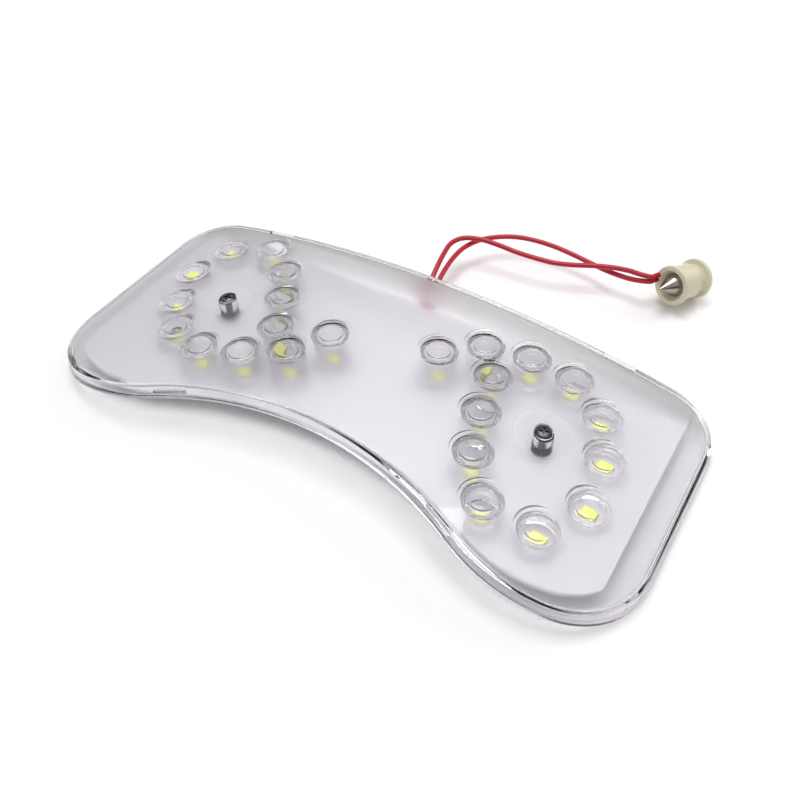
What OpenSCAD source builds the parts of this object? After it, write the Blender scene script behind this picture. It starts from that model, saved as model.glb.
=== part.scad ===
// Car dome light: a clear bowed lens cover with lens cups over a white LED board,
// two red leads and a sprung festoon adapter.
// X runs along the cover, +Y is its back edge, +Z is up; the origin is under the middle
// of the cover, on the surface that its two ends stand on.

/* [Cover] */
// Overall length of the cover
cover_len = 170; // [160:1:190]
// Overall depth of the cover, from its back edge to its lobes
cover_depth = 76; // [72:1:90]
// Radius of the bow along the cover, on the outer face
bow_r = 330; // [290:10:420]
// Height of the skirt, from the outer face down to the rim
skirt_h = 4.7; // [4.2:0.1:6]
// Wall thickness of the plate and the skirt
wall_t = 1.4; // [1.2:0.1:1.6]
// How far the rim's flange stands out from the skirt
flange_w = 0.5; // [0.3:0.1:0.8]
// Height of the rim's flange
flange_h = 1.2; // [0.8:0.1:1.6]
// How far the rounded top edge is drawn in from the flange
edge_in = 2; // [1.5:0.1:2.5]
// Height of the rounded top edge
edge_h = 1.1; // [0.8:0.1:1.3]

/* [Outline] */
// Radius of the two back corners
back_corner_r = 15; // [10:1:20]
// Radius of the two front corners
front_corner_r = 22; // [16:1:24]
// Radius of each lobe along the front edge
lobe_r = 39; // [36:1:44]
// Distance from the cover's end to the middle of the lobe's curve
lobe_in = 25; // [22:1:27]
// Radius of the hollow waist in the front edge
waist_r = 100; // [90:5:130]

/* [Lens cups] */
// Outside diameter of a cup at the outer face
cup_d = 10.3; // [9.8:0.1:10.8]
// Diameter of the recess at the outer face
mouth_d = 9.8; // [9:0.1:10]
// Diameter of the lens window at the bottom of the recess
window_d = 7; // [6:0.1:7.4]
// Depth of the recess
dip = 1.4; // [1:0.1:1.5]
// Thickness of the lens window
window_t = 0.8; // [0.6:0.1:1]
// Draft of a cup's outer wall, in degrees
cup_draft = 1.5; // [0.5:0.5:2.5]
// Wall of a cup's foot
foot_wall = 1; // [0.8:0.1:1.2]
// Gap between a cup's foot and the board
foot_gap = 0.25; // [0.1:0.05:0.4]

/* [Board] */
// Height of the board's top face above the surface that the cover stands on
board_rise = 5.4; // [5:0.1:5.6]
// Thickness of the board
board_t = 1.2; // [1:0.1:1.6]
// How far the board's edge lies in from the cover's outline
board_in = 4.8; // [4.4:0.1:8]
// How far the board sits back from the middle of the cover's outline
board_back = 1.2; // [0:0.1:1.6]
// Gap between the board's ends and the inside of the bowed plate
end_gap = 0.8; // [0.5:0.1:2]
// Length of an LED package
led_len = 3.5; // [3:0.1:4]
// Width of an LED package
led_w = 2.8; // [2.4:0.1:3.2]
// Height of an LED package
led_h = 0.75; // [0.6:0.05:0.8]
// Depth of the phosphor well in an LED package
well_h = 0.15; // [0.1:0.05:0.3]
// Rim round the phosphor well
well_rim = 0.2; // [0.15:0.05:0.4]

/* [Posts and screws] */
// Distance from the cover's end to a screw post
post_in = 36.5; // [35:0.5:40]
// Distance from the cover's back edge to the screw posts
post_back = 34.5; // [32:0.5:37]
// Diameter of a post at its foot
post_d = 5.2; // [5:0.1:6]
// Diameter of a screw head
head_d = 4.2; // [3.8:0.1:4.4]
// Height of a screw head
head_h = 1.3; // [1:0.1:1.6]
// Depth of the pocket for a screw head in the outer face
pocket_h = 1.1; // [0.8:0.1:1.4]
// Clearance of a screw head in its pocket, on the radius
head_gap = 0.2; // [0.1:0.05:0.3]
// Thickness of the washer between a post and the board
washer_h = 1; // [0.6:0.1:1.2]
// Outside diameter of a washer
washer_d = 5.2; // [4.8:0.1:6]
// Diameter of a screw's shank
shank_d = 2; // [1.6:0.1:2.2]
// Clearance of a screw's shank in its post, washer and board, on the radius
shank_gap = 0.15; // [0.1:0.05:0.3]
// Thickness of a nut under the board
nut_h = 1.2; // [1:0.1:1.6]
// Width of a nut across its flats
nut_w = 4; // [3.8:0.1:4.5]

/* [Clip windows] */
// Length of a clip window in the skirt
clip_len = 9; // [6:0.5:10]
// Height of a clip window
clip_h = 1.3; // [1:0.1:1.5]
// Distance of the back clip windows from the middle
back_clip_x = 54.5; // [45:0.5:58]
// Distance of the front clip windows from the middle
front_clip_x = 39; // [35:0.5:42]

/* [Adapter] */
// Diameter of the adapter's two flanges
flange_d = 11.6; // [11:0.1:12]
// Thickness of a flange
flange_t = 1.2; // [1:0.1:1.5]
// Overall length of the adapter's body between the outer faces
body_len = 11.4; // [11:0.1:12.5]
// Outside diameter of the sleeve
sleeve_d = 10.2; // [9.9:0.1:10.6]
// Wall of the sleeve and the plunger
sleeve_wall = 0.8; // [0.6:0.1:0.9]
// Sliding clearance of the plunger in the sleeve, on the radius
slide_gap = 0.1; // [0.05:0.01:0.15]
// Travel of the plunger
stroke = 2.4; // [1.8:0.1:2.6]
// Length of the plunger that stays in the sleeve
overlap_len = 1.8; // [1.5:0.1:2]
// Depth of the recess round a contact
recess_h = 1.6; // [1.3:0.1:1.8]
// Diameter of the recess at the outer face
recess_d = 9; // [8.6:0.1:9.4]
// Diameter of a contact at its base
contact_d = 6.8; // [6.4:0.1:7]
// Length of a contact from its seat to its point
contact_len = 6.6; // [6:0.1:7]
// Diameter of a contact's rivet stem
stem_d = 2.4; // [2:0.1:3]
// Diameter of the wire inside the spring
spring_wire = 0.5; // [0.4:0.05:0.6]

/* [Leads] */
// Diameter of each lead over its insulation
lead_d = 1.5; // [1.3:0.1:1.7]

/* [Hidden] */
function led_name(i) = str("led_", i < 10 ? "0" : "", i);

// Cover: heights follow from the bow, whose axis runs along Y far below the part
half_len = cover_len / 2;
half_depth = cover_depth / 2;
cover_h = bow_r - sqrt(pow(bow_r - skirt_h, 2) - pow(half_len, 2));
bow_z = cover_h - bow_r;
function face_z(x, depth) = bow_z + sqrt(pow(bow_r - depth, 2) - x * x);
skirt_in = flange_w + wall_t;

// Outline: centres of the arcs on the right half; neighbouring arcs are tangent
back_c = [half_len - back_corner_r, half_depth - back_corner_r];
lobe_c = [half_len - lobe_in, lobe_r - half_depth];
corner_x = half_len - front_corner_r;
corner_c = [corner_x, lobe_c.y - sqrt(pow(lobe_r - front_corner_r, 2) - pow(corner_x - lobe_c.x, 2))];
waist_c = [0, lobe_c.y - sqrt(pow(waist_r + lobe_r, 2) - pow(lobe_c.x, 2))];
corner_a = atan2(corner_c.y - lobe_c.y, corner_c.x - lobe_c.x);
waist_a = atan2(waist_c.y - lobe_c.y, waist_c.x - lobe_c.x);
function on_arc(c, r, a) = c + r * [cos(a), sin(a)];
function flip(p) = [-p.x, p.y];

// Lens cups: their places round the right post, in the lobe's own tilted axes
lobe_tilt = 7.5;
cup_spots = [
    [-35, 4.5], [-27, 14], [-15.5, 18.5], [-3.5, 20], [8, 14.5], [15, 4],
    [19, -10], [13.5, -23], [0, -25.5], [-9.5, -16], [-15, -5], [-19.5, 6.5]
];
post_x = half_len - post_in;
post_y = half_depth - post_back;
function right_spot(p) = [
    post_x + p.x * cos(lobe_tilt) + p.y * sin(lobe_tilt),
    post_y - p.x * sin(lobe_tilt) + p.y * cos(lobe_tilt)
];
// The left lobe has the same pattern turned end for end
function left_spot(p) = [
    -post_x - p.x * cos(lobe_tilt) + p.y * sin(lobe_tilt),
    post_y - p.x * sin(lobe_tilt) - p.y * cos(lobe_tilt)
];
cup_places = concat([for (p = cup_spots) right_spot(p)], [for (p = cup_spots) left_spot(p)]);

// Board: flat, so its ends stop where the bowed plate comes down to it
board_z = board_rise - board_t;
board_end = sqrt(pow(bow_r - wall_t, 2) - pow(board_rise - bow_z, 2)) - end_gap;

// Adapter: it lies behind the cover, turned away from the lamp, on the edge of its far flange;
// the stiff leads hold its near end a little off the surface
adapter_turn = 64.4;
adapter_dip = 10;
adapter_rise = flange_d / 2 * cos(adapter_dip) + body_len * sin(adapter_dip);
adapter_spot = [54.94, 76.84, adapter_rise];
adapter_dir = [cos(adapter_turn) * cos(adapter_dip), sin(adapter_turn) * cos(adapter_dip), -sin(adapter_dip)];
adapter_side = [-sin(adapter_turn), cos(adapter_turn), 0];
adapter_up = cross(adapter_dir, adapter_side);
seat_t = 0.8;
end_h = recess_h + seat_t;
stem_over = 0.3;
plunger_d = sleeve_d - 2 * (sleeve_wall + slide_gap);
spring_d = plunger_d - 2 * sleeve_wall - 0.4;
sleeve_len = body_len - flange_t - stroke - 0.3;
plunger_end = sleeve_len - overlap_len;

// Leads: each runs from its solder joint under the board, out below the back rim and
// up behind it, then over the surface to the face of the adapter's first flange
joint_y = 27;
joint_x = [-4.2, -1.8];
entry_out = 5;
entry_rise = [0.8, -0.8];
lead_1_route = [
    [-4.2, 28, 3.1], [-4.3, 32, 3.1], [-4.6, 35.3, 3.2], [-5.1, 38.6, 4.5], [-5.8, 42, 6], [-6.5, 46, 7.7],
    [-7.3, 50.5, 8.7], [-8.3, 56, 9.1], [-8.7, 61, 9.2], [-6.7, 65, 9.2], [-2, 67, 9.2], [3.5, 67.5, 9],
    [10, 67.6, 8.6], [16, 68.2, 8.3], [21.7, 69.3, 8], [27, 71.4, 7.9], [32, 73.8, 8],
    [37.2, 75.5, 8.3], [42, 76, 8.8], [45.7, 75.6, 9.2]
];
lead_2_route = [
    [-1.8, 28, 3.1], [-1.9, 32, 3.1], [-2.2, 35.3, 3.2], [-2.9, 38.6, 4.3], [-3.8, 42, 5.4], [-4.6, 46, 6.4],
    [-5.3, 50.5, 6.9], [-5.9, 56.5, 7.1], [-5.7, 63, 7], [-3.5, 69, 6.9], [0.3, 73.4, 6.8],
    [5.4, 76.5, 6.8], [11.2, 78.2, 6.6], [17.5, 78.8, 6.3], [24, 78.5, 5.9], [30.6, 77.6, 5.6],
    [36.3, 76.2, 6], [42, 75.3, 6.6], [45.7, 75.1, 7.2]
];
function flange_point(out, rise, back) =
    adapter_spot - back * adapter_dir + out * adapter_side + rise * adapter_up;
function lead_path(i, route) = concat(
    [[joint_x[i], joint_y, route[0].z]],
    route,
    [for (back = [3.2, 1.5, 0]) flange_point(entry_out, entry_rise[i], back)]
);
function unit(v) = v / norm(v);
function along(p, i) = unit(p[min(i + 1, len(p) - 1)] - p[max(i - 1, 0)]);
function end_dir(p, i) = i == 0 ? [0, 1, 0] : i == len(p) - 1 ? adapter_dir : along(p, i);
function ring(c, t, r, n) = let (s = unit(cross([0, 0, 1], t)), u = cross(t, s))
    [for (k = [0:n - 1]) c + r * (cos(360 * k / n) * s + sin(360 * k / n) * u)];

// Curves are drawn finer the larger they are
bow_fn = 360;
part_fn = 32;

module mirrored() {
    children();
    mirror([1, 0, 0]) children();
}

// The cover's outline seen from above, drawn in by inset on every side
function arc(c, r, a0, a1, n) = [for (i = [0:n]) on_arc(c, r, a0 + (a1 - a0) * i / n)];
module outline(inset) {
    steps = 12;
    waist_steps = 8;
    half = concat(
        arc(back_c, back_corner_r - inset, 90, 0, steps),
        arc(corner_c, front_corner_r - inset, 0, corner_a, steps),
        [for (i = [1:steps / 2]) on_arc(lobe_c, lobe_r - inset, corner_a + (waist_a - corner_a) * i / (steps / 2))],
        [for (i = [1:waist_steps]) on_arc(waist_c, waist_r + inset, waist_a + 180 + (-90 - waist_a) * i / waist_steps)]
    );
    polygon(concat(half, [for (i = [len(half) - 2:-1:0]) flip(half[i])]));
}

// Everything below the bowed face that lies depth under the outer face
module roller(depth) {
    translate([0, 0, bow_z]) rotate([90, 0, 0])
        cylinder(r = bow_r - depth, h = 2 * cover_depth, center = true, $fn = bow_fn);
}

module layer(inset, depth) {
    intersection() {
        translate([0, 0, -1]) linear_extrude(cover_h + 2) outline(inset);
        roller(depth);
    }
}

// Plate and skirt: the top edge is rounded in steps that all follow the bow
module shell() {
    steps = 4;
    difference() {
        union() {
            layer(0, skirt_h - flange_h);
            for (i = [0:steps - 1])
                layer(
                    flange_w + (edge_in - flange_w) * (1 - cos(90 * i / (steps - 1))),
                    edge_h * (1 - sin(90 * i / (steps - 1)))
                );
        }
        layer(skirt_in, wall_t);
        roller(skirt_h);
    }
}

module cup_body(p) {
    foot = board_rise + foot_gap;
    rise = face_z(p.x, 0) - foot;
    spare = 2;
    translate([p.x, p.y, foot])
        cylinder(
            h = rise + spare,
            d1 = cup_d - 2 * rise * tan(cup_draft),
            d2 = cup_d + 2 * spare * tan(cup_draft),
            $fn = part_fn
        );
}

module cup_hollow(p) {
    top = face_z(p.x, 0);
    foot_d = cup_d - 2 * (top - board_rise) * tan(cup_draft);
    spare = 2;
    translate([p.x, p.y, top - dip])
        cylinder(h = dip + spare, d1 = window_d, d2 = mouth_d + (mouth_d - window_d) * spare / dip, $fn = part_fn);
    translate([p.x, p.y, board_z])
        cylinder(h = top - dip - window_t - board_z, d = foot_d - 2 * foot_wall, $fn = part_fn);
}

// A post reaches from its washer up into the plate
module post_body(x) {
    foot = board_rise + washer_h;
    translate([x, post_y, foot])
        cylinder(h = face_z(x, 0) + 1 - foot, d1 = post_d, d2 = post_d - 0.2, $fn = part_fn);
}

module post_hollow(x) {
    translate([x, post_y, face_z(x, 0) - pocket_h])
        cylinder(h = cover_h, d = head_d + 2 * head_gap, $fn = part_fn);
    shank_hole(x);
}

module shank_hole(x) {
    translate([x, post_y, 0]) cylinder(h = cover_h, d = shank_d + 2 * shank_gap, $fn = part_fn);
}

module clip_window(x, y, turn) {
    slope = asin(x / bow_r);
    translate([x, y, face_z(x, (edge_h + skirt_h - flange_h) / 2)]) rotate([0, slope, turn])
        cube([clip_len, 3 * skirt_in, clip_h], center = true);
}

module cover() {
    waist_turn = asin(front_clip_x / waist_r);
    waist_y = waist_c.y + waist_r * cos(waist_turn);
    color([0.9, 0.9, 0.93, 0.6]) difference() {
        union() {
            shell();
            intersection() {
                union() {
                    for (p = cup_places) cup_body(p);
                    for (x = [-post_x, post_x]) post_body(x);
                }
                roller(wall_t / 2);
            }
        }
        for (p = cup_places) cup_hollow(p);
        for (x = [-post_x, post_x]) post_hollow(x);
        for (s = [-1, 1]) {
            clip_window(s * back_clip_x, half_depth - skirt_in / 2, 0);
            clip_window(s * front_clip_x, waist_y + skirt_in / 2, -s * waist_turn);
        }
    }
}

module led_board() {
    color("white") difference() {
        intersection() {
            translate([0, board_back, board_z]) linear_extrude(board_t) outline(board_in);
            translate([-board_end, -half_depth, 0]) cube([2 * board_end, cover_depth, cover_h]);
        }
        for (x = [-post_x, post_x]) shank_hole(x);
    }
}

// An LED package with a shallow well for its phosphor
module led(i) {
    p = cup_places[i - 1];
    color([1, 0.96, 0.55]) translate([p.x, p.y, board_rise]) rotate([0, 0, i > 12 ? lobe_tilt : -lobe_tilt])
        difference() {
            translate([-led_len / 2, -led_w / 2, 0]) cube([led_len, led_w, led_h]);
            translate([well_rim - led_len / 2, well_rim - led_w / 2, led_h - well_h])
                cube([led_len - 2 * well_rim, led_w - 2 * well_rim, led_h]);
        }
}

// A pan-head screw from above: its head sits in the pocket, its shank goes through the board
module screw(x) {
    seat = face_z(x, 0) - pocket_h;
    slot_w = 0.7;
    color("dimgray") translate([x, post_y, seat]) difference() {
        union() {
            cylinder(h = head_h, d1 = head_d, d2 = head_d - 0.8, $fn = part_fn);
            translate([0, 0, board_z - nut_h - 0.4 - seat])
                cylinder(h = seat - board_z + nut_h + 0.4 + head_h / 2, d = shank_d, $fn = part_fn);
        }
        for (a = [0, 90])
            rotate([0, 0, a]) translate([-head_d * 0.3, -slot_w / 2, head_h / 2])
                cube([head_d * 0.6, slot_w, head_h]);
    }
}

module washer(x) {
    color([0.2, 0.2, 0.21]) difference() {
        translate([x, post_y, board_rise]) cylinder(h = washer_h, d = washer_d, $fn = part_fn);
        shank_hole(x);
    }
}

// A hexagon nut on the screw, against the board's underside
module nut(x) {
    color("gray") translate([x, post_y, board_z - nut_h]) difference() {
        cylinder(h = nut_h, d = nut_w / cos(30), $fn = 6);
        translate([0, 0, -1]) cylinder(h = nut_h + 2, d = shank_d, $fn = part_fn);
    }
}

// Chips under the board: one bridge rectifier and eight series resistors
module rectifier() {
    size = [4.7, 3.9, 1.4];
    color([0.12, 0.12, 0.13]) translate([joint_x[0] - 9 - size.x, joint_y - 6, board_z - size.z]) cube(size);
}

module resistor(i) {
    size = [2, 1.25, 0.55];
    pitch = 5;
    color([0.16, 0.16, 0.18])
        translate([(i - 4.5) * pitch - size.x / 2, 6, board_z - size.z]) cube(size);
}

// A soldered joint on the board's underside: a round pad with a dome over the lead's end
module solder(i) {
    dome_r = 1.15;
    color("silver") intersection() {
        translate([joint_x[i], joint_y, lead_1_route[0].z]) sphere(dome_r, $fn = part_fn);
        translate([joint_x[i] - 2, joint_y - 2, 0]) cube([4, 4, board_z]);
    }
}

// A lead: one tube swept along its points
module lead(i, route) {
    path = lead_path(i, route);
    sides = 8;
    last = len(path) - 1;
    points = [for (k = [0:last]) each ring(path[k], end_dir(path, k), lead_d / 2, sides)];
    walls = [for (k = [0:last - 1], j = [0:sides - 1])
        [k * sides + j, k * sides + (j + 1) % sides, (k + 1) * sides + (j + 1) % sides, (k + 1) * sides + j]];
    caps = [[for (j = [sides - 1:-1:0]) j], [for (j = [0:sides - 1]) last * sides + j]];
    color([0.82, 0.1, 0.16]) polyhedron(points, concat(walls, caps), convexity = 8);
}

// The adapter's axis: local Z runs from the first flange's outer face to the second's
module on_adapter(start) {
    translate(adapter_spot) rotate([0, 0, adapter_turn]) rotate([0, 90 + adapter_dip, 0])
        translate([0, 0, start]) children();
}

module tube(h, d, hole) {
    difference() {
        cylinder(h = h, d = d, $fn = part_fn);
        translate([0, 0, -1]) cylinder(h = h + 2, d = hole, $fn = part_fn);
    }
}

// A flange and the end wall behind it, with the recess and the stem hole for a contact
module flange_end(wall_d) {
    difference() {
        union() {
            cylinder(h = flange_t, d = flange_d, $fn = part_fn);
            cylinder(h = end_h, d = wall_d, $fn = part_fn);
        }
        translate([0, 0, -recess_h])
            cylinder(h = 2 * recess_h, d1 = 2 * recess_d - contact_d - 0.2, d2 = contact_d + 0.2, $fn = part_fn);
        cylinder(h = 2 * end_h, d = stem_d, $fn = part_fn);
    }
}

module adapter_sleeve() {
    color([0.93, 0.9, 0.78]) on_adapter(0) union() {
        flange_end(sleeve_d);
        translate([0, 0, end_h / 2 + flange_t / 2])
            tube(sleeve_len - end_h / 2 - flange_t / 2, sleeve_d, sleeve_d - 2 * sleeve_wall);
    }
}

module adapter_plunger() {
    color([0.93, 0.9, 0.78]) on_adapter(0) union() {
        translate([0, 0, body_len]) mirror([0, 0, 1]) flange_end(plunger_d);
        translate([0, 0, plunger_end])
            tube(body_len - end_h / 2 - flange_t / 2 - plunger_end, plunger_d, plunger_d - 2 * sleeve_wall);
    }
}

// A pointed contact on its seat at Z = 0, with a rivet stem below that holds it in the end wall
module contact() {
    base_h = 0.6;
    color("silver") {
        cylinder(h = base_h, d = contact_d, $fn = part_fn);
        translate([0, 0, base_h]) cylinder(h = contact_len - base_h, d1 = contact_d, d2 = 0.5, $fn = part_fn);
        translate([0, 0, -seat_t - stem_over]) cylinder(h = seat_t + stem_over + base_h / 2, d = stem_d, $fn = part_fn);
    }
}

module contact_1() {
    on_adapter(recess_h) mirror([0, 0, 1]) contact();
}

module contact_2() {
    on_adapter(body_len - recess_h) contact();
}

// The spring inside the sleeve, drawn at its closed length as a stack of touching turns
module adapter_spring() {
    turns = floor((body_len - 2 * end_h - stroke) / spring_wire);
    color("gray") on_adapter(end_h) for (k = [0:turns - 1])
        translate([0, 0, (k + 0.5) * spring_wire]) rotate_extrude($fn = part_fn)
            translate([(spring_d - spring_wire) / 2, 0]) square(spring_wire, center = true);
}

cover();
led_board();
for (i = [1:24]) led(i);
screw(-post_x);  // screw_1
screw(post_x);  // screw_2
washer(-post_x);  // washer_1
washer(post_x);  // washer_2
nut(-post_x);  // nut_1
nut(post_x);  // nut_2
rectifier();
for (i = [1:8]) resistor(i);
solder(0);  // solder_1
solder(1);  // solder_2
lead(0, lead_1_route);  // lead_1
lead(1, lead_2_route);  // lead_2
adapter_sleeve();
contact_1();
adapter_spring();
adapter_plunger();
contact_2();
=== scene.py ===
import math
import bpy
from mathutils import Matrix, Vector


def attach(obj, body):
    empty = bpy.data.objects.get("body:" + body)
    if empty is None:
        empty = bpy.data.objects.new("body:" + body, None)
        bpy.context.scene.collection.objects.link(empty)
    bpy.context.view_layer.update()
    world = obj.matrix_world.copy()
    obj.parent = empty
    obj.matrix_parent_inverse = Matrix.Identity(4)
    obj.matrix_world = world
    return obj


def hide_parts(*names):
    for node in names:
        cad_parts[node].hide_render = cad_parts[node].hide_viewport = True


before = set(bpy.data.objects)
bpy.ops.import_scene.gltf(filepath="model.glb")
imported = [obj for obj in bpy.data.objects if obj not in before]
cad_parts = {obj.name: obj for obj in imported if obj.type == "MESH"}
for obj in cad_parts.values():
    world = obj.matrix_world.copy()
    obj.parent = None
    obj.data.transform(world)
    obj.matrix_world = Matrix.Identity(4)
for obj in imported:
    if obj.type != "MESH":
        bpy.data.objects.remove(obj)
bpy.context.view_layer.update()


# Camera and studio
# The photograph looks down on the lamp from the front right, over a white sweep under a big soft light.
# The floor is the surface that the lamp's two ends stand on.
def mm(*values):
    return tuple(v / 1000 for v in values)


def deselect():
    if bpy.context.object and bpy.context.object.mode != "OBJECT":
        bpy.ops.object.mode_set(mode="OBJECT")
    bpy.ops.object.select_all(action="DESELECT")


def linear(hex_colour):
    parts = [int(hex_colour[i : i + 2], 16) / 255 for i in (1, 3, 5)]
    return tuple(c / 12.92 if c <= 0.04045 else ((c + 0.055) / 1.055) ** 2.4 for c in parts) + (1.0,)


def add_node(material, kind, settings=None, links=None):
    """One node in a material: settings go to its attributes or sockets, links come from (node, output)."""
    tree = material.node_tree
    made = tree.nodes.new(kind)
    for key, value in (settings or {}).items():
        if isinstance(key, str) and hasattr(made, key):
            setattr(made, key, value)
        else:
            made.inputs[key].default_value = value
    for key, (source, output) in (links or {}).items():
        tree.links.new(source.outputs[output], made.inputs[key])
    return made


def new_material(name, settings):
    """A material and its Principled shader, with the settings on the shader's own sockets."""
    material = bpy.data.materials.new(name)
    material.use_nodes = True
    shader = material.node_tree.nodes["Principled BSDF"]
    for socket, value in settings.items():
        shader.inputs[socket].default_value = value
    return material, shader


def coat(piece, material):
    """Gives a piece this material alone."""
    piece.data.materials.clear()
    piece.data.materials.append(material)


FOCAL_PX, FRAME_PX, SENSOR = 862, 800, 36
view_from = Vector(mm(91.52, -128.38, 168.8))
view_along = Vector((-0.36478, 0.57590, -0.73163)).normalized()
view_right = view_along.cross(Vector((-0.37370, 0.62916, 0.68155))).normalized()
view_up = view_right.cross(view_along)
bpy.ops.object.camera_add(location=view_from)
camera = bpy.context.object
camera.name = "camera"
camera.rotation_euler = Matrix((view_right, view_up, -view_along)).transposed().to_euler()
camera.data.sensor_width = SENSOR
camera.data.lens = FOCAL_PX / FRAME_PX * SENSOR
camera.data.clip_start = 0.01
bpy.context.scene.camera = camera
bpy.context.scene.view_settings.view_transform = "Standard"

deselect()
bpy.ops.mesh.primitive_plane_add(size=4, location=(0, 0, 0))
floor = bpy.context.object
floor.name = "floor"
# Matt white card: no shine, so the lamp only leaves soft shadows on it
card, shader = new_material("matt_white_card", {
    "Base Color": linear("#FBFAFB"), "Roughness": 0.9, "Specular IOR Level": 0.1})
coat(floor, card)

# The room is white overhead and falls off to grey at the horizon, which gives clear plastic its dark edges
world = bpy.data.worlds.new("studio") if bpy.context.scene.world is None else bpy.context.scene.world
bpy.context.scene.world = world
world.use_nodes = True
facing = add_node(world, "ShaderNodeTexCoord")
height = add_node(world, "ShaderNodeSeparateXYZ", {}, {"Vector": (facing, "Generated")})
whiter = add_node(world, "ShaderNodeMapRange", {"From Min": 0.12, "From Max": 0.72}, {"Value": (height, "Z")})
room = add_node(world, "ShaderNodeMix", {"data_type": "RGBA", 6: linear("#5E5A5B"), 7: linear("#FFFFFF")},
                {0: (whiter, "Result")})
world.node_tree.links.new(room.outputs[2], world.node_tree.nodes["Background"].inputs["Color"])
world.node_tree.nodes["Background"].inputs["Strength"].default_value = 0.68
# Both softboxes point at the lamp. Only the one overhead shows as a reflection in what is glossy.
for name, spot, size, power in (
    ("softbox_over", (-0.1, 0.2, 0.95), 0.5, 4.9),
    ("softbox_back", (0.45, 0.75, 0.6), 0.4, 1.7),
):
    bpy.ops.object.light_add(type="AREA", location=spot)
    light = bpy.context.object
    light.name = name
    light.data.size = size
    light.data.energy = power
    light.rotation_euler = Vector(spot).to_track_quat("Z", "Y").to_euler()
    light.visible_glossy = name == "softbox_over"


# Leads
# Two red insulated wires, soldered under the board. They pass below the raised back rim, stand up
# a little behind it and run over the surface to the adapter.
LEAD_D = 1.5
FLANGE_D, BODY_L = 11.6, 11.4
ADAPTER_TURN, ADAPTER_DIP = math.radians(64.4), math.radians(10)
adapter_dir = Vector((math.cos(ADAPTER_TURN) * math.cos(ADAPTER_DIP),
                      math.sin(ADAPTER_TURN) * math.cos(ADAPTER_DIP), -math.sin(ADAPTER_DIP)))
adapter_side = Vector((-math.sin(ADAPTER_TURN), math.cos(ADAPTER_TURN), 0))
adapter_up = adapter_dir.cross(adapter_side)
adapter_spot = Vector((54.94, 76.84, FLANGE_D / 2 * math.cos(ADAPTER_DIP) + BODY_L * math.sin(ADAPTER_DIP)))
# The leads reach the adapter's flange this far to its side, one above the other
LEAD_SIDE = 5
lead_routes = {
    "lead_1": (0.8, [
        (-4.2, 27, 3.1), (-4.2, 28, 3.1), (-4.3, 32, 3.1), (-4.6, 35.3, 3.2), (-5.1, 38.6, 4.5),
        (-5.8, 42, 6), (-6.5, 46, 7.7), (-7.3, 50.5, 8.7), (-8.3, 56, 9.1), (-8.7, 61, 9.2),
        (-6.7, 65, 9.2), (-2, 67, 9.2), (3.5, 67.5, 9), (10, 67.6, 8.6), (16, 68.2, 8.3),
        (21.7, 69.3, 8), (27, 71.4, 7.9), (32, 73.8, 8), (37.2, 75.5, 8.3), (42, 76, 8.8),
        (45.7, 75.6, 9.2)]),
    "lead_2": (-0.8, [
        (-1.8, 27, 3.1), (-1.8, 28, 3.1), (-1.9, 32, 3.1), (-2.2, 35.3, 3.2), (-2.9, 38.6, 4.3),
        (-3.8, 42, 5.4), (-4.6, 46, 6.4), (-5.3, 50.5, 6.9), (-5.9, 56.5, 7.1), (-5.7, 63, 7),
        (-3.5, 69, 6.9), (0.3, 73.4, 6.8), (5.4, 76.5, 6.8), (11.2, 78.2, 6.6), (17.5, 78.8, 6.3),
        (24, 78.5, 5.9), (30.6, 77.6, 5.6), (36.3, 76.2, 6), (42, 75.3, 6.6), (45.7, 75.1, 7.2)]),
}


def two_shades(material, shader, size, detail, dark, light):
    """Clouds the base colour between two shades, in spots of this size in millimetres. Returns the clouds."""
    place = add_node(material, "ShaderNodeTexCoord")
    clouds = add_node(material, "ShaderNodeTexNoise", {"Scale": 1000 / size, "Detail": detail},
                      {"Vector": (place, "Object")})
    shade = add_node(material, "ShaderNodeMix", {"data_type": "RGBA", 6: linear(dark), 7: linear(light)},
                     {0: (clouds, "Fac")})
    material.node_tree.links.new(shade.outputs[2], shader.inputs["Base Color"])
    return clouds


# Soft vinyl insulation, extruded: an even red with a low sheen and a faint ripple about 1 mm long
vinyl, shader = new_material("red_vinyl_insulation", {"Roughness": 0.38, "IOR": 1.53})
ripple = two_shades(vinyl, shader, 1.11, 2, "#AE0E28", "#C21A34")
bump = add_node(vinyl, "ShaderNodeBump", {"Strength": 0.08, "Distance": 0.0001}, {"Height": (ripple, "Fac")})
vinyl.node_tree.links.new(bump.outputs["Normal"], shader.inputs["Normal"])


def through(points, steps):
    """A smooth line through the points, by Catmull-Rom between each pair."""
    ends = [points[0] * 2 - points[1]] + points + [points[-1] * 2 - points[-2]]
    line = []
    for i in range(1, len(ends) - 2):
        a, b, c, d = ends[i - 1 : i + 3]
        for k in range(steps):
            t = k / steps
            cubic = (3 * b - a - 3 * c + d) * t**3
            line.append(0.5 * (2 * b + (c - a) * t + (2 * a - 5 * b + 4 * c - d) * t**2 + cubic))
    return line + [points[-1]]


leads = {}
for name, (rise, route) in lead_routes.items():
    route = [Vector(p) for p in route]
    for short in (3.2, 1.5, 0):
        route.append(adapter_spot - adapter_dir * short + adapter_side * LEAD_SIDE + adapter_up * rise)
    line = [p / 1000 for p in through(route, 4)]
    deselect()
    curve = bpy.data.curves.new(name + "_wire", "CURVE")
    curve.dimensions = "3D"
    spline = curve.splines.new("POLY")
    spline.points.add(len(line) - 1)
    for point, at in zip(spline.points, line):
        point.co = (*at, 1)
    curve.bevel_depth = LEAD_D / 2000
    curve.bevel_resolution = 5
    curve.use_fill_caps = True
    wire = bpy.data.objects.new(name + "_wire", curve)
    bpy.context.collection.objects.link(wire)
    coat(wire, vinyl)
    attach(wire, "lamp")
    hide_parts(name)
    leads[name] = (wire, sum((b - a).length for a, b in zip(line, line[1:])), line[0])


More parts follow.
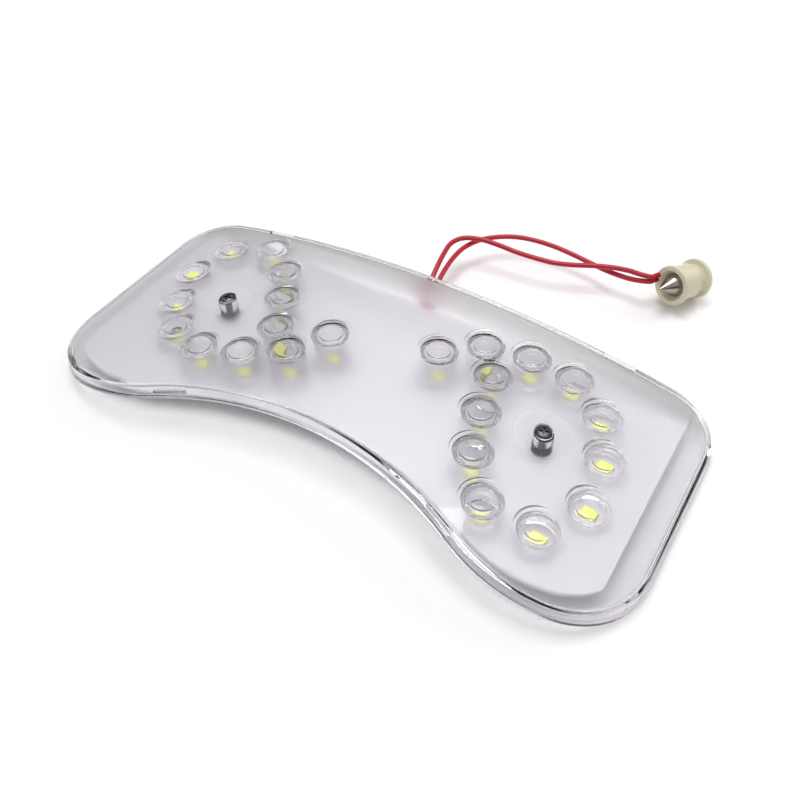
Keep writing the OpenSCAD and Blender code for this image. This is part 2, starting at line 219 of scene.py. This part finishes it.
# Cover
# One injection moulding in clear acrylic: a bowed plate with a rounded edge, a skirt that ends in a
# flange, a lens cup over each LED and two screw posts, all hollow from below.
HALF_LEN, HALF_DEPTH, BOW_R, SKIRT_H, WALL_T = 85.0, 38.0, 330.0, 4.7, 1.4
FLANGE_W, FLANGE_H, EDGE_IN, EDGE_H = 0.5, 1.2, 2.0, 1.1
BACK_R, FRONT_R, LOBE_R, LOBE_IN, WAIST_R = 15.0, 22.0, 39.0, 25.0, 100.0
COVER_H = BOW_R - math.sqrt((BOW_R - SKIRT_H) ** 2 - HALF_LEN**2)
BOW_Z = COVER_H - BOW_R
BOARD_T, BOARD_TOP = 1.2, 5.4
BOARD_Z = BOARD_TOP - BOARD_T


def face_z(x, depth):
    """The height of the bow at x, this deep below its outer face, in millimetres."""
    return BOW_Z + math.sqrt((BOW_R - depth) ** 2 - x * x)


back_c = (HALF_LEN - BACK_R, HALF_DEPTH - BACK_R)
lobe_c = (HALF_LEN - LOBE_IN, LOBE_R - HALF_DEPTH)
front_x = HALF_LEN - FRONT_R
front_c = (front_x, lobe_c[1] - math.sqrt((LOBE_R - FRONT_R) ** 2 - (front_x - lobe_c[0]) ** 2))
waist_c = (0.0, lobe_c[1] - math.sqrt((WAIST_R + LOBE_R) ** 2 - lobe_c[0] ** 2))
front_a = math.atan2(front_c[1] - lobe_c[1], front_c[0] - lobe_c[0])
waist_a = math.atan2(waist_c[1] - lobe_c[1], waist_c[0] - lobe_c[0])


def outline(inset):
    """The cover's outline seen from above, in millimetres, drawn in by inset on every side."""
    half = []
    for centre, radius, start, end, steps, first in (
        (back_c, BACK_R - inset, math.pi / 2, 0, 20, 0),
        (front_c, FRONT_R - inset, 0, front_a, 22, 0),
        (lobe_c, LOBE_R - inset, front_a, waist_a, 14, 1),
        (waist_c, WAIST_R + inset, waist_a + math.pi, math.pi / 2, 24, 1),
    ):
        for i in range(first, steps + 1):
            a = start + (end - start) * i / steps
            half.append((centre[0] + radius * math.cos(a), centre[1] + radius * math.sin(a)))
    return half + [(-x, y) for x, y in reversed(half[:-1])]


# The section of the wall, from the outer face round the rim to the inner face, as (inset, depth)
flange_top, inner = SKIRT_H - FLANGE_H, FLANGE_W + WALL_T
section = [(FLANGE_W + (EDGE_IN - FLANGE_W) * (1 - math.cos(t)), EDGE_H * (1 - math.sin(t)))
           for t in (math.pi / 2 * (1 - i / 8) for i in range(9))]
section += [
    (FLANGE_W, flange_top - 0.3), (FLANGE_W - 0.08, flange_top - 0.08), (0.15, flange_top),
    (0.0, flange_top + 0.15), (0.0, SKIRT_H - 0.2), (0.06, SKIRT_H - 0.06), (0.2, SKIRT_H),
    (inner - 0.2, SKIRT_H), (inner - 0.05, SKIRT_H - 0.06), (inner, SKIRT_H - 0.2),
    (inner, WALL_T + 0.6), (inner + 0.1, WALL_T + 0.22), (inner + 0.35, WALL_T + 0.04), (inner + 0.7, WALL_T),
]
ring = outline(section[0][0])
deselect()
bpy.ops.mesh.primitive_circle_add(vertices=len(ring), radius=0.05, fill_type="NGON")
cover = bpy.context.object
cover.name = "cover_moulding"
for v, (x, y) in zip(cover.data.vertices, ring):
    v.co = (x, y, -section[0][1])
bpy.ops.object.mode_set(mode="EDIT")
bpy.ops.mesh.select_all(action="SELECT")
for inset, depth in section[1:]:
    bpy.ops.mesh.extrude_region_move()
    bpy.ops.object.mode_set(mode="OBJECT")
    moved = [v for v in cover.data.vertices if v.select]
    for v, (x, y) in zip(moved, outline(inset)):
        v.co = (x, y, -depth)
    bpy.ops.object.mode_set(mode="EDIT")
# Still flat, it is cut across into narrow strips, which then take the bow
STRIP_W = 1.5
strips = int(HALF_LEN / STRIP_W)
for i in range(-strips, strips + 1):
    bpy.ops.mesh.select_all(action="SELECT")
    bpy.ops.mesh.bisect(plane_co=(i * STRIP_W, 0, 0), plane_no=(1, 0, 0))
bpy.ops.mesh.select_all(action="SELECT")
bpy.ops.mesh.normals_make_consistent(inside=False)
bpy.ops.object.mode_set(mode="OBJECT")
for v in cover.data.vertices:
    v.co = (v.co.x / 1000, v.co.y / 1000, face_z(v.co.x, -v.co.z) / 1000)

# Each end has a leaning ring of twelve LEDs round its screw post, and one end mirrors the other
TILT = math.radians(7.5)
POST = (HALF_LEN - 36.5, 3.5)
POST_FOOT_R, POST_TOP_R = 2.6, 2.5
CUP_D, CUP_WALL, CUP_CLEAR, DRAFT = 10.3, 1.0, 0.25, math.tan(math.radians(1.5))
DISH_DEEP, CEILING_DEEP = 0.55, 2.2
WASHER_T, POCKET_H, POCKET_R, BORE_R, BORE_L = 1.0, 1.1, 2.3, 1.15, 5
PLATE_Z = face_z(POST[0], 0)
LEDS_PER_END = 12
pattern = [(-35, 4.5), (-27, 14), (-15.5, 18.5), (-3.5, 20), (8, 14.5), (15, 4),
           (19, -10), (13.5, -23), (0, -25.5), (-9.5, -16), (-15, -5), (-19.5, 6.5)]
cup_places = [(POST[0] + x * math.cos(TILT) + y * math.sin(TILT),
               POST[1] - x * math.sin(TILT) + y * math.cos(TILT)) for x, y in pattern]
cup_places += [(-POST[0] - x * math.cos(TILT) + y * math.sin(TILT),
                POST[1] - x * math.sin(TILT) - y * math.cos(TILT)) for x, y in pattern]
post_places = [(side * POST[0], POST[1]) for side in (-1, 1)]


def turned(name, profile, sides=64):
    """A turned solid on the Z axis from (radius, height) points in millimetres, closed at both ends."""
    deselect()
    bpy.ops.mesh.primitive_circle_add(vertices=sides, radius=profile[0][0] / 1000, fill_type="NGON",
                                      location=(0, 0, profile[0][1] / 1000))
    solid = bpy.context.object
    solid.name = name
    bpy.ops.object.transform_apply(location=True, rotation=True, scale=True)
    bpy.ops.object.mode_set(mode="EDIT")
    bpy.ops.mesh.select_all(action="SELECT")
    for (r0, z0), (r1, z1) in zip(profile, profile[1:]):
        bpy.ops.mesh.extrude_region_move(TRANSFORM_OT_translate={"value": (0, 0, (z1 - z0) / 1000)})
        bpy.ops.transform.resize(value=(r1 / r0, r1 / r0, 1))
    bpy.ops.mesh.select_all(action="SELECT")
    bpy.ops.mesh.normals_make_consistent(inside=False)
    bpy.ops.object.mode_set(mode="OBJECT")
    return solid


def copies(model, places, name):
    """Copies of a model at places, joined to one object. Each place moves a point of the model."""
    made = []
    for move in places:
        other = bpy.data.objects.new(name, model.data.copy())
        bpy.context.collection.objects.link(other)
        for v in other.data.vertices:
            v.co = move(v.co)
        made.append(other)
    bpy.data.objects.remove(model)
    deselect()
    for other in made:
        other.select_set(True)
    bpy.context.view_layer.objects.active = made[0]
    bpy.ops.object.join()
    return made[0]


def combine(target, tool, operation):
    """Cuts the tool out of the target or joins it on, and removes the tool."""
    deselect()
    bpy.context.view_layer.objects.active = target
    target.select_set(True)
    cut = target.modifiers.new(operation.lower(), "BOOLEAN")
    cut.operation = operation
    cut.solver = "EXACT"
    cut.object = tool
    bpy.ops.object.modifier_apply(modifier=cut.name)
    bpy.data.objects.remove(tool)


def lift(place, height):
    """Moves a model to a place seen from above, and up to this height, in millimetres."""
    return lambda p: Vector((p.x + place[0] / 1000, p.y + place[1] / 1000, p.z + height / 1000))


def cup_outside(place):
    """Moves a cup one unit wide and high here: it ends inside the plate and stands clear of the board."""
    foot = BOARD_TOP + CUP_CLEAR
    top = face_z(place[0], 0)

    def move(p):
        r = CUP_D / 2 - (top - foot) * DRAFT * (1 - p.z * 1000)
        x, y = place[0] + p.x * 1000 * r, place[1] + p.y * 1000 * r
        z = foot if p.z < 0.0005 else face_z(x, WALL_T / 2)
        return Vector(mm(x, y, z))
    return move


cups = copies(turned("cup", [(1, 0), (1, 1)]), [cup_outside(p) for p in cup_places], "cup")
posts = copies(
    turned("post", [(POST_FOOT_R, 0), (POST_TOP_R, PLATE_Z - WALL_T / 2 - BOARD_TOP - WASHER_T)]),
    [lift(p, BOARD_TOP + WASHER_T) for p in post_places],
    "post",
)
combine(cover, cups, "UNION")
combine(cover, posts, "UNION")
# The outer face dips in a soft-edged ring over each LED, and a low domed lens stands in the ring's middle
dishes = copies(
    turned("dish", [
        (1.2, 0.42), (2.2, 0.39), (2.9, 0.33), (3.14, 0.27), (3.22, 0.2), (3.28, 0.04), (3.36, 0), (4.2, 0),
        (4.45, 0.03), (4.65, 0.1), (4.8, 0.2), (4.95, 0.34), (5.08, 0.44), (5.25, 0.51), (5.45, 0.54),
        (5.6, 0.56), (5.7, 1.5)]),
    [lift(p, face_z(p[0], 0) - DISH_DEEP) for p in cup_places],
    "dish",
)
combine(cover, dishes, "DIFFERENCE")


def hollow_inside(place):
    """Moves a hollow one unit wide and high here: it opens at the board and ends under the lens."""
    top = face_z(place[0], 0)
    radius = CUP_D / 2 - (top - BOARD_TOP) * DRAFT - CUP_WALL
    ceiling = top - CEILING_DEEP

    def move(p):
        z = BOARD_Z + (ceiling - BOARD_Z) * p.z * 1000 if p.z < 0.00099 else ceiling
        return Vector(mm(place[0] + p.x * 1000 * radius, place[1] + p.y * 1000 * radius, z))
    return move


hollows = copies(turned("hollow", [(1, 0), (1, 0.97), (0.94, 1)]), [hollow_inside(p) for p in cup_places],
                 "hollow")
combine(cover, hollows, "DIFFERENCE")
# Each post has a clearance hole, and above it a pocket for the screw's head with a broken edge
bores = copies(
    turned("bore", [
        (BORE_R, 0), (BORE_R, BORE_L), (POCKET_R - 0.1, BORE_L + 0.01), (POCKET_R, BORE_L + 0.1),
        (POCKET_R, BORE_L + POCKET_H - 0.08), (POCKET_R + 0.12, BORE_L + POCKET_H + 0.04),
        (POCKET_R + 0.12, BORE_L + 4)]),
    [lift(p, PLATE_Z - POCKET_H - BORE_L) for p in post_places],
    "bore",
)
combine(cover, bores, "DIFFERENCE")

# Four windows through the skirt take the clips: two at the back, two at the front where the edge curves in
CLIP_L, CLIP_H, CLIP_DOWN, CLIP_IN, CLIP_CUT = 9.0, 0.8, 2.7, 0.95, 5.7
BACK_CLIP_X, FRONT_CLIP_X = 54.5, 39.0


def window(x, y, turn):
    """A cutter for one clip window, tilted with the bow and turned along the skirt."""
    deselect()
    bpy.ops.mesh.primitive_cube_add(size=0.001)
    tool = bpy.context.object
    slope = math.asin(x / BOW_R)
    place = (Matrix.Translation(mm(x, y, face_z(x, CLIP_DOWN))) @ Matrix.Rotation(turn, 4, "Z")
             @ Matrix.Rotation(slope, 4, "Y") @ Matrix.Diagonal((CLIP_L, CLIP_CUT, CLIP_H, 1)))
    tool.data.transform(place)
    return tool


front_turn = math.asin(FRONT_CLIP_X / WAIST_R)
front_y = waist_c[1] + WAIST_R * math.cos(front_turn) + CLIP_IN
for side in (-1, 1):
    combine(cover, window(side * BACK_CLIP_X, HALF_DEPTH - CLIP_IN, 0), "DIFFERENCE")
    combine(cover, window(side * FRONT_CLIP_X, front_y, -side * front_turn), "DIFFERENCE")


def smooth(piece):
    """Selects this piece alone and smooths its faces. Edges of more than 35 degrees stay sharp."""
    deselect()
    piece.select_set(True)
    bpy.context.view_layer.objects.active = piece
    bpy.ops.object.shade_smooth_by_angle(angle=math.radians(35))


smooth(cover)
even = cover.modifiers.new("even_shading", "WEIGHTED_NORMAL")
even.keep_sharp = True
even.weight = 100
bpy.ops.object.modifier_apply(modifier=even.name)

# Clear acrylic, polished tool: almost colourless, with flow waves some 17 mm long and a faint cool grey in
# the thickness. Lamp light goes through it, so it only dims what lies below.
acrylic, shader = new_material("clear_moulded_acrylic", {
    "Base Color": linear("#F4F4F6"), "Transmission Weight": 1.0, "IOR": 1.49, "Roughness": 0.04})
place = add_node(acrylic, "ShaderNodeTexCoord")
flow = add_node(acrylic, "ShaderNodeTexNoise", {"Scale": 1000 / 16.67, "Detail": 3.0},
                {"Vector": (place, "Object")})
bump = add_node(acrylic, "ShaderNodeBump", {"Strength": 0.05, "Distance": 0.0005}, {"Height": (flow, "Fac")})
acrylic.node_tree.links.new(bump.outputs["Normal"], shader.inputs["Normal"])
path = add_node(acrylic, "ShaderNodeLightPath")
clear = add_node(acrylic, "ShaderNodeBsdfTransparent", {"Color": linear("#ACA8AA")})
either = add_node(acrylic, "ShaderNodeMixShader", {},
                  {0: (path, "Is Shadow Ray"), 1: (shader, "BSDF"), 2: (clear, "BSDF")})
acrylic.node_tree.links.new(either.outputs[0], acrylic.node_tree.nodes["Material Output"].inputs["Surface"])
coat(cover, acrylic)
# The plate's underside is spark-eroded: what lies well below it blurs, and the light spreads. It is
# polished round the posts and rougher along the back, and along the back its colour is greyed as painted
# shade.
POLISHED_R, FROSTED_R = 5.5, 7.5
BACK_FROM, BACK_ROUGH, BACK_SHADE_END = 26, 31, 34
frosted = acrylic.copy()
frosted.name = "clear_acrylic_frosted_painted_shade"
shader = frosted.node_tree.nodes["Principled BSDF"]
place = add_node(frosted, "ShaderNodeTexCoord")
axes = add_node(frosted, "ShaderNodeSeparateXYZ", {}, {"Vector": (place, "Object")})
across = add_node(frosted, "ShaderNodeMath", {"operation": "ABSOLUTE"}, {0: (axes, "X")})
spot = add_node(frosted, "ShaderNodeCombineXYZ", {}, {"X": (across, "Value"), "Y": (axes, "Y")})
reach = add_node(frosted, "ShaderNodeVectorMath", {"operation": "DISTANCE", 1: mm(*POST, 0)},
                 {0: (spot, "Vector")})
near = add_node(frosted, "ShaderNodeMapRange", {
    "From Min": POLISHED_R / 1000, "From Max": FROSTED_R / 1000, "To Min": 0.08, "To Max": 0.28},
    {"Value": (reach, "Value")})
back = add_node(frosted, "ShaderNodeMapRange", {
    "From Min": BACK_FROM / 1000, "From Max": BACK_ROUGH / 1000, "To Min": 0.0, "To Max": 0.75},
    {"Value": (axes, "Y")})
rough = add_node(frosted, "ShaderNodeMath", {"operation": "ADD"}, {0: (near, "Result"), 1: (back, "Result")})
frosted.node_tree.links.new(rough.outputs["Value"], shader.inputs["Roughness"])
# Painted shade: towards the back edge the base colour is mixed to a darker grey
painted_shade_ramp = add_node(frosted, "ShaderNodeMapRange", {"From Min": BACK_FROM / 1000, "From Max": BACK_SHADE_END / 1000},
                {"Value": (axes, "Y")})
shade = add_node(frosted, "ShaderNodeMix", {"data_type": "RGBA", 6: linear("#F4F4F6"), 7: linear("#DADBD8")},
                 {0: (painted_shade_ramp, "Result")})
frosted.node_tree.links.new(shade.outputs[2], shader.inputs["Base Color"])
cover.data.materials.append(frosted)
# Only the faces that lie on the underside, to this many millimetres, are frosted
SAME_HEIGHT = 0.03
for face in cover.data.polygons:
    x, z = face.center.x * 1000, face.center.z * 1000
    if face.normal.z < -0.5 and abs(z - face_z(x, WALL_T)) < SAME_HEIGHT:
        face.material_index = 1
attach(cover, "lamp")
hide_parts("cover")


# Board
# A glass-fibre circuit board under white solder mask, drawn up to the posts by the two screws.
# The mask is a thin even lacquer with a soft gloss, faintly mottled every 3 mm or so.
mask, shader = new_material("white_solder_mask", {"Roughness": 0.35})
two_shades(mask, shader, 3.33, 4, "#F0EFF4", "#F6F5F9")
coat(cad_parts["led_board"], mask)


# LEDs
# Each is a surface-mounted package: a white moulded body round a shallow well of yellow phosphor.
# All are soldered flat on the board, and each is turned with the leaning ring that it belongs to.
LED_L, LED_W, LED_H = 3.5, 2.8, 0.75
LED_ROUND, WELL_IN, WELL_DEEP = 0.06, 0.05, 0.04


def pick_faces(piece, wanted):
    """Enters edit mode with only the faces that answer wanted selected."""
    bpy.ops.object.mode_set(mode="EDIT")
    bpy.ops.mesh.select_mode(type="FACE")
    bpy.ops.mesh.select_all(action="DESELECT")
    bpy.ops.object.mode_set(mode="OBJECT")
    for face in piece.data.polygons:
        face.select = wanted(face)
    bpy.ops.object.mode_set(mode="EDIT")


deselect()
bpy.ops.mesh.primitive_cube_add(size=0.001)
led_model = bpy.context.object
led_model.name = "led_model"
led_model.data.transform(Matrix.Translation(mm(0, 0, LED_H / 2)) @ Matrix.Diagonal((LED_L, LED_W, LED_H, 1)))
bpy.ops.object.mode_set(mode="EDIT")
bpy.ops.mesh.select_all(action="SELECT")
bpy.ops.mesh.bevel(offset=LED_ROUND / 1000, segments=2)
bpy.ops.object.mode_set(mode="OBJECT")
pick_faces(led_model, lambda face: face.normal.z > 0.9 and face.area > 1e-6)
bpy.ops.mesh.inset(thickness=WELL_IN / 1000)
bpy.ops.mesh.extrude_region_move(TRANSFORM_OT_translate={"value": (0, 0, -WELL_DEEP / 1000)})
bpy.ops.object.mode_set(mode="OBJECT")

# White heat-proof moulding compound, chalky, which the phosphor beside it tints
package, shader = new_material("white_led_package", {"Roughness": 0.5})
two_shades(package, shader, 0.4, 2, "#F0F4A8", "#F8FAC4")
# Yellow phosphor in clear silicone: saturated, soft, slightly glossy, and it glows a little in daylight
phosphor, shader = new_material("yellow_phosphor_gel", {"Roughness": 0.25, "Emission Strength": 0.2})
two_shades(phosphor, shader, 0.25, 2, "#F0F66C", "#FBFF92")
yellow = shader.inputs["Base Color"].links[0].from_socket
phosphor.node_tree.links.new(yellow, shader.inputs["Emission Color"])
coat(led_model, package)
led_model.data.materials.append(phosphor)
for face in led_model.data.polygons:
    if face.select and face.normal.z > 0.9:
        face.material_index = 1
for i, (x, y) in enumerate(cup_places):
    led = bpy.data.objects.new(f"led_{i + 1:02d}_package", led_model.data.copy())
    bpy.context.collection.objects.link(led)
    lean = -TILT if i < LEDS_PER_END else TILT
    led.data.transform(Matrix.Translation(mm(x, y, BOARD_TOP)) @ Matrix.Rotation(lean, 4, "Z"))
    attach(led, "lamp")
    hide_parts(f"led_{i + 1:02d}")
bpy.data.objects.remove(led_model)


# Screws
# Two pan-head machine screws drop into the posts' pockets. Each goes through a black nylon washer and
# the board into a hexagon nut below it. The heads have a cross recess.
HEAD_R, HEAD_H, SHANK_R = 2.1, 1.3, 1.0
NUT_H, THREAD_OUT = 1.2, 0.4
CROSS_L, CROSS_W, CROSS_H, CROSS_UP, CROSS_TURN = 2.5, 0.6, 1.0, 1.1, 0.3
shank_end = BOARD_Z - NUT_H - THREAD_OUT
seat = PLATE_Z - POCKET_H
# Zinc-plated steel, blackened: dark, with dull glints where the plating is rubbed
steel, shader = new_material("zinc_plated_steel", {"Metallic": 1.0})
rub = two_shades(steel, shader, 0.833, 3, "#4E4A4A", "#827C7A")
dull = add_node(steel, "ShaderNodeMapRange", {"To Min": 0.28, "To Max": 0.5}, {"Value": (rub, "Fac")})
steel.node_tree.links.new(dull.outputs["Result"], shader.inputs["Roughness"])
for i, (x, y) in enumerate(post_places):
    screw = turned("screw", [
        (SHANK_R - 0.3, shank_end), (SHANK_R, shank_end + 0.3), (SHANK_R, seat), (HEAD_R - 0.1, seat + 0.01),
        (HEAD_R, seat + 0.12), (HEAD_R - 0.04, seat + 0.5), (HEAD_R - 0.24, seat + 0.9),
        (HEAD_R - 0.65, seat + 1.18), (0.8, seat + HEAD_H)])
    for angle in (CROSS_TURN, CROSS_TURN + math.pi / 2):
        deselect()
        bpy.ops.mesh.primitive_cube_add(size=0.001)
        slot = bpy.context.object
        slot.data.transform(Matrix.Translation(mm(0, 0, seat + CROSS_UP)) @ Matrix.Rotation(angle, 4, "Z")
                            @ Matrix.Diagonal((CROSS_L, CROSS_W, CROSS_H, 1)))
        combine(screw, slot, "DIFFERENCE")
    screw.data.transform(Matrix.Translation(mm(x, y, 0)))
    smooth(screw)
    screw.name = f"screw_{i + 1}_turned"
    coat(screw, steel)
    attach(screw, "lamp")
    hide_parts(f"screw_{i + 1}")
    coat(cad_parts[f"nut_{i + 1}"], steel)

# Black nylon, moulded: dark grey-black with a soft sheen
nylon_black, shader = new_material("black_nylon_washer", {"Roughness": 0.5})
two_shades(nylon_black, shader, 1.11, 2, "#1C1B1D", "#2C2A2C")
for node in ("washer_1", "washer_2"):
    coat(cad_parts[node], nylon_black)


# Chips and solder
# Under the board sit a bridge rectifier and a row of eight resistors, in black moulded epoxy, and the
# two domed tin joints of the leads.

# Black epoxy moulding compound: matt, with a fine filler speckle
epoxy, shader = new_material("black_epoxy_moulding", {"Roughness": 0.6})
two_shades(epoxy, shader, 0.286, 2, "#161617", "#2A2A2C")
for node in ["rectifier"] + [f"resistor_{i}" for i in range(1, 9)]:
    coat(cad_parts[node], epoxy)
# Tin solder, set bright, with the faint frost of its crystals
tin, shader = new_material("tin_solder", {"Metallic": 1.0, "Roughness": 0.25})
frost = two_shades(tin, shader, 0.4, 4, "#B9BCBF", "#DADCDD")
bump = add_node(tin, "ShaderNodeBump", {"Strength": 0.2, "Distance": 0.00005}, {"Height": (frost, "Fac")})
tin.node_tree.links.new(bump.outputs["Normal"], shader.inputs["Normal"])
for node in ("solder_1", "solder_2"):
    coat(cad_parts[node], tin)


# Adapter
# A sprung stand-in for a festoon bulb: two flanged halves in cream translucent nylon, one sliding in
# the other over a spring, with a pointed metal contact riveted into the recess of each flange.
FLANGE_T, SLEEVE_D, TUBE_WALL, SLIDE_GAP = 1.2, 10.2, 0.8, 0.1
RECESS_H, RECESS_D, SEAT_T, STEM_D = 1.6, 9.0, 0.8, 2.4
CONTACT_D, CONTACT_L, STROKE, END_GAP, LAP = 6.8, 6.6, 2.4, 0.3, 1.8
PLUNGER_D = SLEEVE_D - 2 * (TUBE_WALL + SLIDE_GAP)
END_H = RECESS_H + SEAT_T
SLEEVE_L = BODY_L - FLANGE_T - STROKE - END_GAP
PLUNGER_L = BODY_L - (SLEEVE_L - LAP)
along = (Matrix.Translation(adapter_spot / 1000) @ Matrix.Rotation(ADAPTER_TURN, 4, "Z")
         @ Matrix.Rotation(math.pi / 2 + ADAPTER_DIP, 4, "Y"))
far_end = Matrix.Translation(mm(0, 0, BODY_L)) @ Matrix.Rotation(math.pi, 4, "X")


def flanged(name, tube_r, tube_end):
    """One half of the body from its flange's face: recess, seat with a stem hole, and its open tube."""
    rim, face, stem, bore_r = FLANGE_D / 2, RECESS_D / 2, STEM_D / 2, tube_r - TUBE_WALL
    return turned(name, [
        (stem, END_H), (stem, RECESS_H), (CONTACT_D / 2 + 0.1, RECESS_H - 0.01), (face - 0.1, 0.12),
        (face + 0.05, 0.0), (rim - 0.2, 0.0), (rim - 0.06, 0.06), (rim, 0.2), (rim, FLANGE_T - 0.15),
        (rim - 0.15, FLANGE_T), (tube_r + 0.15, FLANGE_T), (tube_r, FLANGE_T + 0.15), (tube_r, END_H),
        (tube_r, tube_end - 0.12), (tube_r - 0.12, tube_end), (bore_r + 0.1, tube_end),
        (bore_r, tube_end - 0.1), (bore_r, END_H + 0.01)])


# Cream nylon, moulded and unpainted: milky in clouds of 4 mm, lets a little light through, with a soft gloss
nylon, shader = new_material("cream_nylon", {"Roughness": 0.3, "Transmission Weight": 0.3, "IOR": 1.53})
milk = two_shades(nylon, shader, 4, 2, "#F2E9C8", "#FBF6E2")
bump = add_node(nylon, "ShaderNodeBump", {"Strength": 0.05, "Distance": 0.0002}, {"Height": (milk, "Fac")})
nylon.node_tree.links.new(bump.outputs["Normal"], shader.inputs["Normal"])
for name, body, place_at, tube_r, tube_end in (
    ("adapter_sleeve", "lamp", along, SLEEVE_D / 2, SLEEVE_L),
    ("adapter_plunger", "plunger", along @ far_end, PLUNGER_D / 2, PLUNGER_L),
):
    half = flanged(name + "_moulding", tube_r, tube_end)
    half.data.transform(place_at)
    smooth(half)
    coat(half, nylon)
    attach(half, body)
    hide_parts(name)

# Bright nickel plate over pressed brass: mirror-like, with a faint haze
nickel, shader = new_material("bright_nickel_plate", {"Metallic": 1.0})
haze = two_shades(nickel, shader, 1.43, 3, "#8A8379", "#B4ADA2")
polish = add_node(nickel, "ShaderNodeMapRange", {"To Min": 0.08, "To Max": 0.2}, {"Value": (haze, "Fac")})
nickel.node_tree.links.new(polish.outputs["Result"], shader.inputs["Roughness"])
stem, base, tip = STEM_D / 2, CONTACT_D / 2, RECESS_H - CONTACT_L
for name, body, place_at in (("contact_1", "lamp", along), ("contact_2", "plunger", along @ far_end)):
    contact = turned(name + "_cap", [
        (stem - 0.2, END_H + 0.3), (stem, END_H + 0.15), (stem, RECESS_H), (base - 0.1, RECESS_H - 0.01),
        (base, RECESS_H - 0.1), (base, 1.2), (base - 0.12, 1.0), (base * 0.62, tip + 3.9),
        (base * 0.3, tip + 1.8), (0.34, tip + 0.4), (0.2, tip + 0.1), (0.06, tip)])
    contact.data.transform(place_at)
    smooth(contact)
    coat(contact, nickel)
    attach(contact, body)
    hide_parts(name)

# Spring steel wire, wound on a mandrel: dark grey with a drawn shine along the wire
wire_steel, shader = new_material("spring_steel_wire", {"Metallic": 1.0, "Roughness": 0.3})
two_shades(wire_steel, shader, 0.667, 2, "#77787B", "#A6A7AA")
coat(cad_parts["adapter_spring"], wire_steel)

wire, length, start = leads["lead_1"]
wire, length, start = leads["lead_2"]
